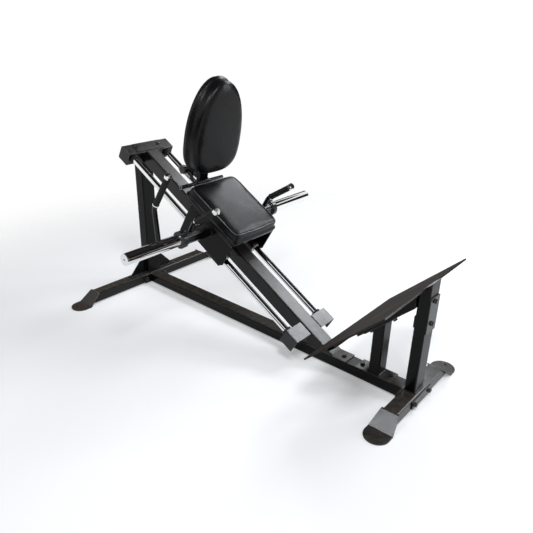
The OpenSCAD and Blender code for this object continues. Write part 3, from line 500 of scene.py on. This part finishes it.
stained_board = coat_finish(
    "stained_board", dark=(0.008, 0.007, 0.006), light=(0.020, 0.016, 0.013),
    rough=(0.45, 0.62), dust_and_sheen=0.1, grain_scale=260.0, bump=0.4, specular=0.20)

# %% [markdown]
# ## Chrome
# The rods and sleeves are hard chrome: bare metal with a very smooth skin and faint lines. A perfect
# mirror looks like a computer picture, so the gloss drifts a little and a stretched noise draws the
# lines as a hardly visible bump.

# %% Chrome finish
def chrome_finish(name):
    made, tree, bsdf = blank_material(name)
    coords = add_node(tree, "ShaderNodeTexCoord")
    stretch = preset(add_node(tree, "ShaderNodeMapping"), Scale=(1.0, 0.04, 1.0))
    wire(tree, coords.outputs["Object"], stretch.inputs["Vector"])
    lines = preset(add_node(tree, "ShaderNodeTexNoise"), Scale=900.0, Detail=2.0)
    wire(tree, stretch.outputs["Vector"], lines.inputs["Vector"])
    tone = place_group(tree, tone_drift, Scale=16.0, Dark=(0.78, 0.78, 0.79, 1),
                       Light=(0.88, 0.88, 0.89, 1), Rough_Low=0.03, Rough_High=0.08)
    skin = preset(add_node(tree, "ShaderNodeBump"), Strength=0.008, Distance=0.0002)
    wire(tree, lines.outputs["Fac"], skin.inputs["Height"])
    wire(tree, tone.outputs["Color"], bsdf.inputs["Base Color"])
    wire(tree, tone.outputs["Roughness"], bsdf.inputs["Roughness"])
    wire(tree, skin.outputs["Normal"], bsdf.inputs["Normal"])
    preset(bsdf, Metallic=1.0)
    return made


hard_chrome = chrome_finish("hard_chrome")
print("chrome:", hard_chrome.name)

# %% [markdown]
# ## Vinyl
# The pads are covered in black upholstery vinyl. Its skin has a pebble of about two millimetres and
# slow stretch creases, and it is glossy enough to catch a bright line along each rounded edge. A
# picture texture would need UVs, which the remeshed cushions do not have, so the hide grain in object
# coordinates is used.

# %% Vinyl finish
valley_rough = 0.10


def vinyl_finish(name):
    made, tree, bsdf = blank_material(name)
    tone = place_group(tree, tone_drift, Scale=11.0, Dark=(0.002, 0.002, 0.0024, 1),
                       Light=(0.0048, 0.0048, 0.0056, 1), Rough_Low=0.24, Rough_High=0.31, Dust=0.02)
    grain = place_group(tree, hide_grain, Scale=420.0, Crease=0.6)
    worn = combine(tree, "MULTIPLY_ADD", grain.outputs["Valley"], valley_rough,
                   tone.outputs["Roughness"])
    skin = preset(add_node(tree, "ShaderNodeBump"), Strength=0.04, Distance=0.0006)
    wire(tree, grain.outputs["Height"], skin.inputs["Height"])
    wire(tree, tone.outputs["Color"], bsdf.inputs["Base Color"])
    wire(tree, worn, bsdf.inputs["Roughness"])
    wire(tree, skin.outputs["Normal"], bsdf.inputs["Normal"])
    preset(bsdf, Specular_IOR_Level=0.20)
    return made


black_vinyl = vinyl_finish("black_vinyl")
print("vinyl:", black_vinyl.name)

# %% [markdown]
# ## Giving each piece its finish
# The record names a material slot for every node, and most pieces take the finish of their slot. A
# few are named one by one: the shaded and the lit copies of the black paint, which paint in shade and
# highlight, and the hinge bar, which is drawn rather than plated.

# %% Finish of each CAD node
finish_of_slot = {
    "frame_black": satin_black, "tread_plate": tread_black, "chrome_steel": hard_chrome,
    "bolt_steel": oxide_steel, "bearing_steel": bearing_steel, "black_plastic": gloss_black,
    "grip_rubber": ribbed_rubber, "black_vinyl": black_vinyl, "board_wood": stained_board}
# Pieces that take the painted-shade copy and the painted-highlight copy of the black paint.
shaded_copy_pieces = ("rear_upright", "upright_gussets", "base_beam", "front_post", "short_post",
               "carriage_side_right", "carriage_side_left", "back_spine", "foot_plate_channel",
               "foot_plate_bar")
lit_copy_pieces = ("rear_feet", "front_feet", "lower_block_right", "lower_block_left")
finish_of_piece = {"hinge_bar": drawn_steel, **dict.fromkeys(shaded_copy_pieces, shaded_copy_black),
                   **dict.fromkeys(lit_copy_pieces, lit_copy_black)}
for part in frame["record"]["subparts"]:
    shown = nodes[part["node"]]
    shown.data.materials.clear()
    shown.data.materials.append(
        finish_of_piece.get(part["node"], finish_of_slot[part["material_slot"]]))

# %% [markdown]
# ## Lamps and chrome
# A small lamp mirrored in a round chrome rod is a line thinner than a pixel and far brighter than
# white, and it breaks up into dashes. Larger lamps would soften it and flatten the paint as well.
# Light linking keeps the lamps off the chrome alone, which then mirrors the white room and the dark
# and tan cards.

# %% Keep the lamps off the chrome
chrome_pieces = bpy.data.collections.new("chrome_pieces")
for part in frame["record"]["subparts"]:
    if part["material_slot"] == "chrome_steel":
        chrome_pieces.objects.link(nodes[part["node"]])
for row in chrome_pieces.collection_objects:
    row.light_linking.link_state = "EXCLUDE"
for lamp in lamps:
    lamp.light_linking.receiver_collection = chrome_pieces

# %% [markdown]
# ## The cushions
# Each pad is foam under a stretched cover on a board. The CAD solid has the right outline, crown and
# stepped rim, but its facets are flat. Sculpting by hand would work; here the solid is copied, laid
# level so that the voxels line up with its faces, remeshed into small even cells, turned back,
# smoothed and drawn onto the solid again. Then it is taken in a little and blown up by a cloth
# simulation with pressure inside, which rounds every edge the way foam does. The cells on the board
# side are pinned so that the pad stays seated.

# %% Even cells over a CAD solid
cell_size, even_rounds, half_step = 0.005, 4, 0.5


def applied(obj):
    graph = bpy.context.evaluated_depsgraph_get()
    fresh = bpy.data.meshes.new_from_object(obj.evaluated_get(graph))
    obj.modifiers.clear()
    obj.data = fresh


def even_cells(name, node, outward, soften):
    pad = bpy.data.objects.new(name, nodes[node].data.copy())
    scene.collection.objects.link(pad)
    level = outward.rotation_difference(Vector((0, 0, 1))).to_matrix().to_4x4()
    pad.data.transform(level)
    cells = pad.modifiers.new("cells", "REMESH")
    cells.mode = "VOXEL"
    cells.voxel_size = cell_size
    applied(pad)
    pad.data.transform(level.inverted())
    even = pad.modifiers.new("even", "SMOOTH")
    even.factor, even.iterations = half_step, even_rounds
    snug = pad.modifiers.new("snug", "SHRINKWRAP")
    snug.target = nodes[node]
    snug.wrap_method = "NEAREST_SURFACEPOINT"
    relaxed = pad.modifiers.new("relaxed", "SMOOTH")
    relaxed.factor, relaxed.iterations = half_step, soften
    applied(pad)
    return pad


print("cells of", cell_size)

# %% Taking in
held_depth, take_in_depth = 0.0045, 0.001


def take_in(pad, outward):
    mesh = pad.data
    seat = min(v.co.dot(outward) for v in mesh.vertices)
    held = pad.vertex_groups.new(name="held")
    held.add([v.index for v in mesh.vertices if v.co.dot(outward) < seat + held_depth],
             1.0, "REPLACE")
    for v in mesh.vertices:
        if v.co.dot(outward) >= seat + held_depth:
            v.co -= v.normal * take_in_depth


print("taken in by", take_in_depth)

# %% Blowing up
swell_cap, slow_rounds, last_frame = 0.0025, 14, 20
cover_settings = {
    "quality": 6, "mass": 0.4, "tension_stiffness": 12, "compression_stiffness": 12,
    "shear_stiffness": 6, "bending_stiffness": 1.5, "use_pressure": True,
    "uniform_pressure_force": 4.0}


def slow_part(mesh, values, rounds):
    ends = np.array([edge.vertices[:] for edge in mesh.edges])
    values = np.array(values)
    count = np.bincount(ends.ravel(), minlength=len(values))
    for _ in range(rounds):
        total = np.bincount(ends[:, 0], values[ends[:, 1]], len(values))
        total += np.bincount(ends[:, 1], values[ends[:, 0]], len(values))
        values = 0.5 * values + 0.5 * total / count
    return values.tolist()


def blow_up(pad):
    start = [v.co.copy() for v in pad.data.vertices]
    facing = [v.normal.copy() for v in pad.data.vertices]
    cloth = pad.modifiers.new("cover", "CLOTH")
    for title, value in cover_settings.items():
        setattr(cloth.settings, title, value)
    cloth.settings.effector_weights.gravity = 0
    cloth.settings.vertex_group_mass = "held"
    cloth.point_cache.frame_start, cloth.point_cache.frame_end = 1, last_frame
    for step in range(1, last_frame + 1):
        scene.frame_set(step)
    applied(pad)
    swell = [max(-swell_cap, min(swell_cap, (v.co - was).dot(out)))
             for v, was, out in zip(pad.data.vertices, start, facing)]
    swell = slow_part(pad.data, swell, slow_rounds)
    for v, was, out, rise in zip(pad.data.vertices, start, facing, swell):
        v.co = was + out * rise
    scene.frame_set(1)
    print(pad.name, "cells:", len(start), "mean swell mm:",
          round(1000 * sum(swell) / len(swell), 2), "largest:", round(1000 * max(swell), 2))


def plump(name, node, outward, soften):
    pad = even_cells(name, node, outward, soften)
    take_in(pad, outward)
    blow_up(pad)
    rounder = pad.modifiers.new("rounder", "SUBSURF")
    rounder.levels = rounder.render_levels = 1
    for face in pad.data.polygons:
        face.use_smooth = True
    pad.data.materials.clear()
    pad.data.materials.append(black_vinyl)
    return pad


print("swell is kept within", swell_cap)

# %% Seat and back cushions
rail_lean, back_lean = math.radians(30.4), math.radians(12.0)
seat_up = Vector((math.sin(rail_lean), 0, math.cos(rail_lean)))
back_out = Vector((math.cos(back_lean), 0, -math.sin(back_lean)))
seat_cushion = plump("seat_cushion", "seat_pad", seat_up, soften=1)
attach(seat_cushion, "carriage")
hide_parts("seat_pad")
back_cushion = plump("back_cushion", "back_pad", back_out, soften=8)
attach(back_cushion, "backrest")
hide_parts("back_pad")

# %% [markdown]
# ## Welt and weld beads
# The seat's cover is sewn along its top edge, and the seam stands up as a thin welt that catches the
# light; its vinyl is a lighter grey than the cover, as a painted highlight along the edge. The posts
# and the plate horn are welded on, and a weld is a row of small overlapping puddles. Noise bumps could
# hint at both, but each has its own outline against what it lies on, so both are swept as a thin tube
# along a closed path; the weld's tube swells once for every puddle.

# %% Tube along a closed path
tube_sides = 8
off_path = Vector((0.31, 0.17, 0.93))


def finished_piece(name, shape, finish, body):
    mesh = bpy.data.meshes.new(name)
    shape.to_mesh(mesh)
    shape.free()
    for face in mesh.polygons:
        face.use_smooth = True
    mesh.materials.append(finish)
    piece = bpy.data.objects.new(name, mesh)
    scene.collection.objects.link(piece)
    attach(piece, body)


def swept_tube(name, path, sizes, body, finish):
    shape = bmesh.new()
    rings = []
    for k, (here, size) in enumerate(zip(path, sizes)):
        run = (path[(k + 1) % len(path)] - path[k - 1]).normalized()
        side = run.cross(off_path).normalized()
        over = run.cross(side)
        rings.append([shape.verts.new(here + size * (math.cos(a) * side + math.sin(a) * over))
                      for a in (math.tau * j / tube_sides for j in range(tube_sides))])
    for k, ring in enumerate(rings):
        after = rings[(k + 1) % len(rings)]
        for j in range(tube_sides):
            i = (j + 1) % tube_sides
            shape.faces.new((ring[j], ring[i], after[i], after[j]))
    bmesh.ops.recalc_face_normals(shape, faces=shape.faces)
    finished_piece(name, shape, finish, body)
    print(name, "length mm:", round(1000 * sum((a - b).length for a, b in zip(path, path[1:]))))


print("tube sides:", tube_sides)

# %% Seat welt
welt_points, welt_radius, welt_sink, rim_rounds = 180, 0.0018, 0.0003, 3


def rim_path(pad, outward):
    points = np.array([v.co[:] for v in pad.data.vertices])
    out = np.array(outward)
    across = np.array((0.0, 1.0, 0.0))
    along = np.cross(across, out)
    spread = points - (points.max(axis=0) + points.min(axis=0)) / 2
    lengthwise, crosswise, rise = spread @ along, spread @ across, spread @ out
    turn = np.arctan2(crosswise, lengthwise)
    stand = np.maximum(np.abs(lengthwise), np.abs(crosswise)) + rise
    spots = []
    for k in range(welt_points):
        gap = np.abs((turn - math.tau * k / welt_points + math.pi) % math.tau - math.pi)
        near = np.where(gap < math.tau / welt_points)[0]
        spots.append(points[near[np.argmax(stand[near])]])
    spots = np.array(spots)
    for _ in range(rim_rounds):
        spots = 0.5 * spots + 0.25 * (np.roll(spots, 1, axis=0) + np.roll(spots, -1, axis=0))
    return [Vector(spot) - outward * welt_sink for spot in spots]


# Grey welt vinyl, lighter than the cover, as a painted highlight along the seat's edge.
welt_grey_painted_highlight = coat_finish(
    "welt_grey_painted_highlight", dark=(0.05, 0.05, 0.054), light=(0.09, 0.09, 0.096), rough=(0.22, 0.30), dust_and_sheen=0.0,
    grain_scale=900.0, bump=0.1, specular=0.5)
seat_rim = rim_path(seat_cushion, seat_up)
swept_tube("seat_welt", seat_rim, [welt_radius] * len(seat_rim),
           "carriage", welt_grey_painted_highlight)

# %% Weld bead maker
bead_radius, puddle, rings_per_puddle, puddle_swell = 0.0022, 0.004, 4, 0.1
corner_inset, bead_lift, bead_proud, turn_steps = 0.006, 0.001, 0.0005, 48


def weld_bead(name, corners, body):
    path = []
    for here, there in zip(corners, corners[1:] + corners[:1]):
        count = max(1, round((there - here).length / (puddle / rings_per_puddle)))
        path += [here.lerp(there, k / count) for k in range(count)]
    swells = [abs(math.sin(math.pi * k / rings_per_puddle)) for k in range(len(path))]
    sizes = [bead_radius * (0.9 + puddle_swell * swell) for swell in swells]
    swept_tube(name, path, sizes, body, satin_black)


def foot_corners(node):
    low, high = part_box(node)
    x0, x1 = low.x + corner_inset, high.x - corner_inset
    y0, y1 = low.y + corner_inset, high.y - corner_inset
    return [Vector((x, y, low.z + bead_lift)) for x, y in (
        (x0, low.y), (x1, low.y), (high.x, y0), (high.x, y1),
        (x1, high.y), (x0, high.y), (low.x, y1), (low.x, y0))]


def tube_corners(node, y):
    low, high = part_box(node)
    middle, reach = (low + high) / 2, (high.z - low.z) / 2 + bead_proud
    return [Vector((middle.x + reach * math.cos(a), y, middle.z + reach * math.sin(a)))
            for a in (math.tau * k / turn_steps for k in range(turn_steps))]


print("bead radius", bead_radius, "puddle", puddle)

# %% Weld beads
for post in ("front_post", "short_post", "rear_upright"):
    weld_bead(post + "_weld", foot_corners(post), "frame")
plate_low, plate_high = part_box("carriage_side_right")[0].y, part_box("carriage_side_left")[1].y
weld_bead("horn_weld_right", tube_corners("horn_tube", plate_low), "carriage")
weld_bead("horn_weld_left", tube_corners("horn_tube", plate_high), "carriage")

# %% [markdown]
# ## Dark plugs in the feet
# Each foot has a hole for a floor bolt, which lies in shade. A dark rubber plug closes it, as painted
# shade in the hole. A cylinder would fill the hole; the plug is turned from a short profile instead,
# so that its head is slightly domed and its rim stays below the face of the foot.

# %% Dark plugs as painted hole shade
shade_plug_sides, hole_inset = 24, 0.024
shade_plug_profile = [(0.0050, 0.0003), (0.0055, 0.0008), (0.0055, 0.0026),
                (0.0051, 0.0031), (0.0036, 0.0035), (0.0012, 0.0037)]


def hole_shade_plug(name, place):
    shape = bmesh.new()
    rows = [[shape.verts.new(Vector(place) + Vector((r * math.cos(a), r * math.sin(a), z)))
             for a in (math.tau * j / shade_plug_sides for j in range(shade_plug_sides))] for r, z in shade_plug_profile]
    for low_row, high_row in zip(rows, rows[1:]):
        for j in range(shade_plug_sides):
            i = (j + 1) % shade_plug_sides
            shape.faces.new((low_row[j], low_row[i], high_row[i], high_row[j]))
    shape.faces.new(list(reversed(rows[0])))
    shape.faces.new(rows[-1])
    finished_piece(name, shape, ribbed_rubber, "frame")
    print(name, "at", [round(v, 3) for v in place])


for feet in ("rear_feet", "front_feet"):
    low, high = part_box(feet)
    for side, y in (("right", low.y + hole_inset), ("left", high.y - hole_inset)):
        hole_shade_plug(feet.removesuffix("_feet") + "_shade_plug_" + side, ((low.x + high.x) / 2, y, 0))
